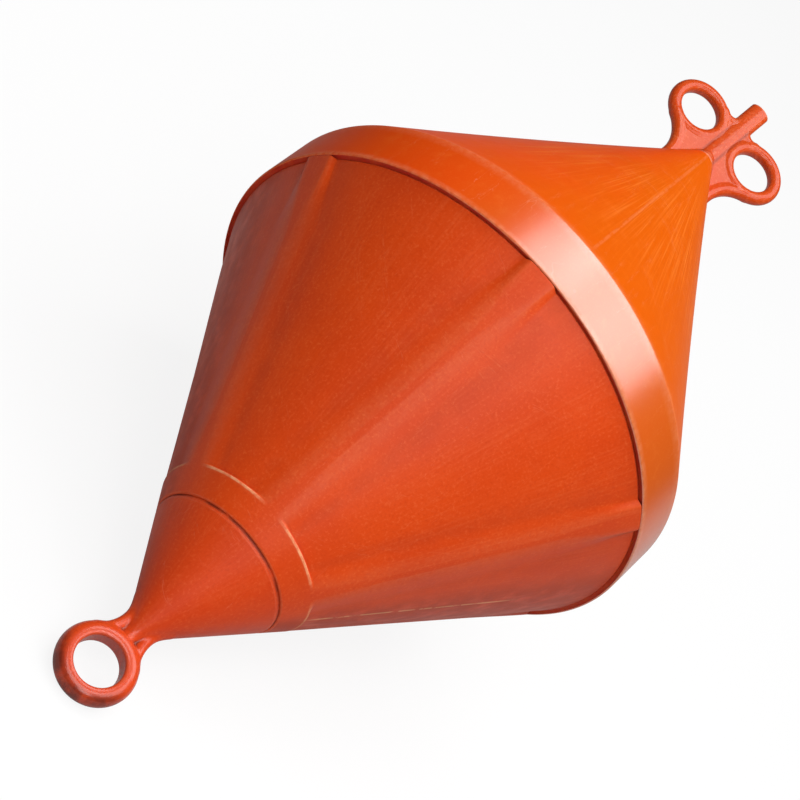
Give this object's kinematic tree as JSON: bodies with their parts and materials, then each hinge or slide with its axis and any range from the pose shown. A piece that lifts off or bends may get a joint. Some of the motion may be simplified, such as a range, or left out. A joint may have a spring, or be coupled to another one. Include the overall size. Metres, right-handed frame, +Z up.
{
  "type": "two-cone mooring buoy",
  "caption": "Two-cone mooring buoy with a wide band, ribbed lower cone, pointed cap with a mooring eye, and a twin-eye lug with a spine at the top.",
  "frame": {"origin": "on the floor, under the middle of the bounding box, with the buoy lying on its side", "axes": "+Z up; +X along the buoy, towards the top lug, whose end is raised; the eye plates' width runs along Y"},
  "size_m": [0.5942, 0.32, 0.3137],
  "materials": {
    "upper_plastic": "satin moulded polyethylene with fine scuffs",
    "lower_plastic": "fine-grained moulded polyethylene",
    "cap_plastic": "smooth moulded polyethylene",
    "lug_plastic": "smooth moulded polyethylene"
  },
  "bodies": {
    "root": {"upper_shell": "upper_plastic", "lower_shell": "lower_plastic", "bottom_eye_cap": "cap_plastic", "top_eye_lug": "lug_plastic"}
  },
  "joints": []
}
